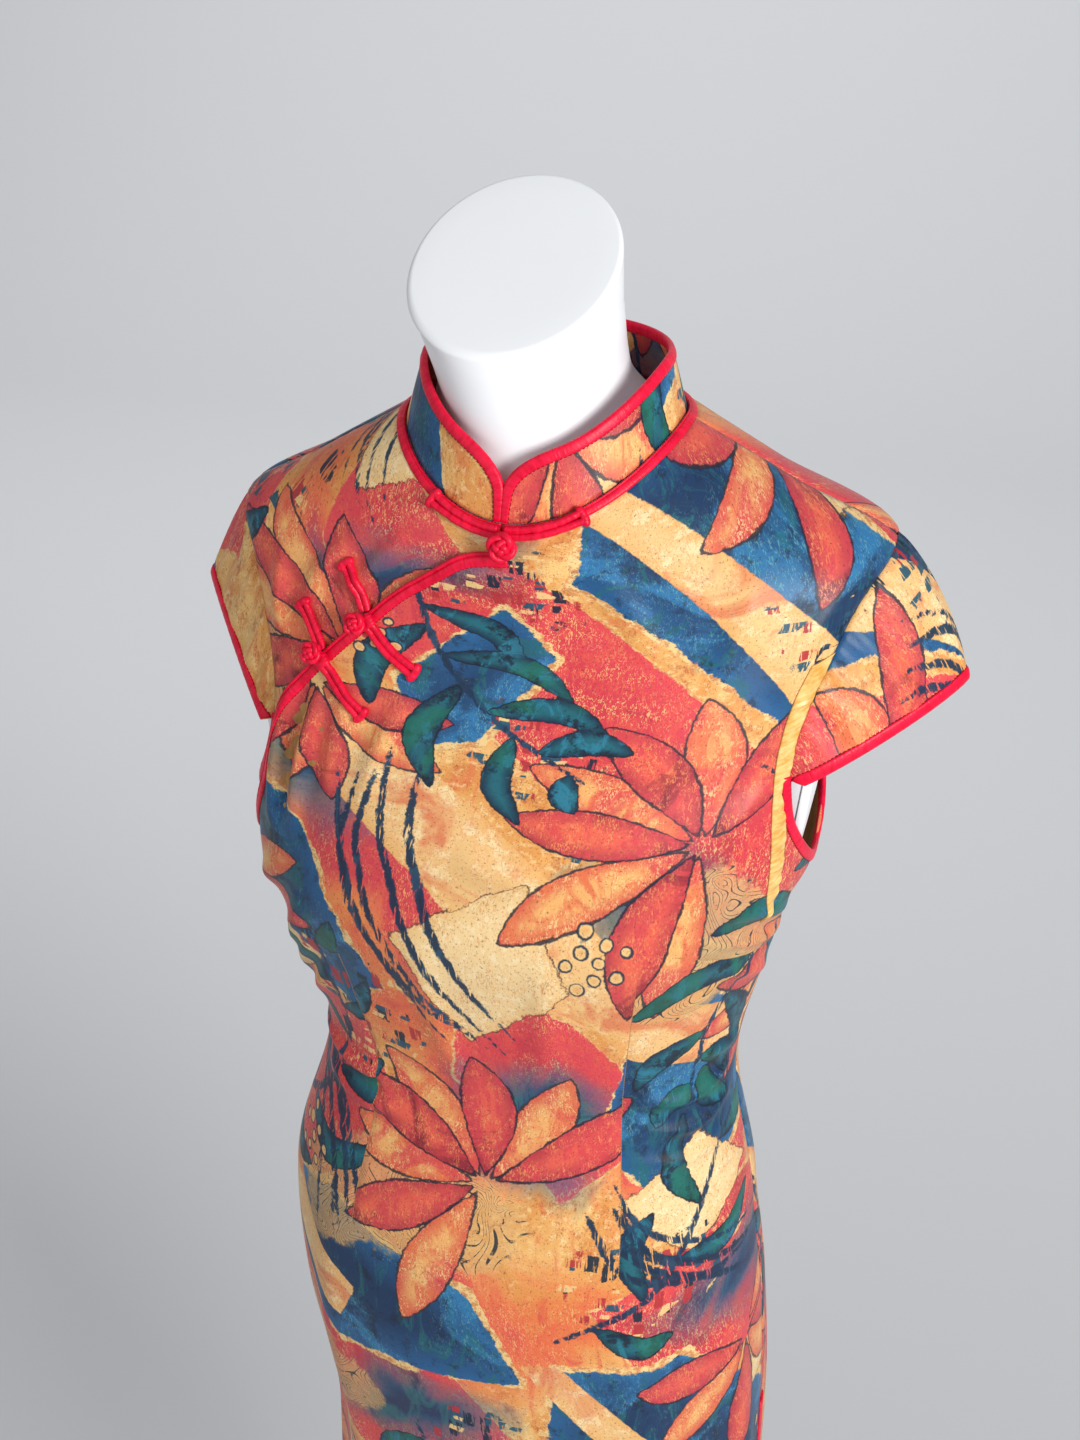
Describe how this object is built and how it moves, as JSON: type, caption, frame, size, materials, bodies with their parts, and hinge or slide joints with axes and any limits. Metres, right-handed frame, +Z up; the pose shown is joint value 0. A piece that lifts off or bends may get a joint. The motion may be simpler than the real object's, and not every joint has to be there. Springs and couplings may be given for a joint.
{
  "type": "sleeved cheongsam dress on a limbless dress form",
  "caption": "Cap-sleeved cheongsam with stand collar, curved right-side closing, knotted frogs and side slits, fitted on a limbless dress form with pole and round base.",
  "frame": {"origin": "centre of the stand's foot at its underside", "axes": "+Z up along the stand's pole, -Y the way the dress's front faces, +X the wearer's left"},
  "size_m": [0.4228, 0.34, 1.5252],
  "materials": {
    "print": "satin",
    "red": "satin",
    "form": "semi-gloss white lacquer",
    "steel": "satin"
  },
  "bodies": {
    "root": {"armhole_binding_left": "red", "armhole_binding_right": "red", "back_panel": "print", "back_skirt_binding": "red", "collar_band": "print", "collar_binding": "red", "flap_binding": "red", "form_body": "form", "frog_collar_knot": "red", "frog_collar_left": "red", "frog_collar_right": "red", "frog_mid_knot": "red", "frog_mid_lower": "red", "frog_mid_upper": "red", "frog_side_knot": "red", "frog_side_lower": "red", "frog_side_upper": "red", "front_panel": "print", "front_skirt_binding": "red", "neck_piping": "red", "sleeve_binding_left": "red", "sleeve_binding_right": "red", "sleeve_left": "print", "sleeve_right": "print", "stand_flange": "steel", "stand_foot": "steel", "stand_pole": "steel", "under_front": "print"}
  },
  "joints": []
}
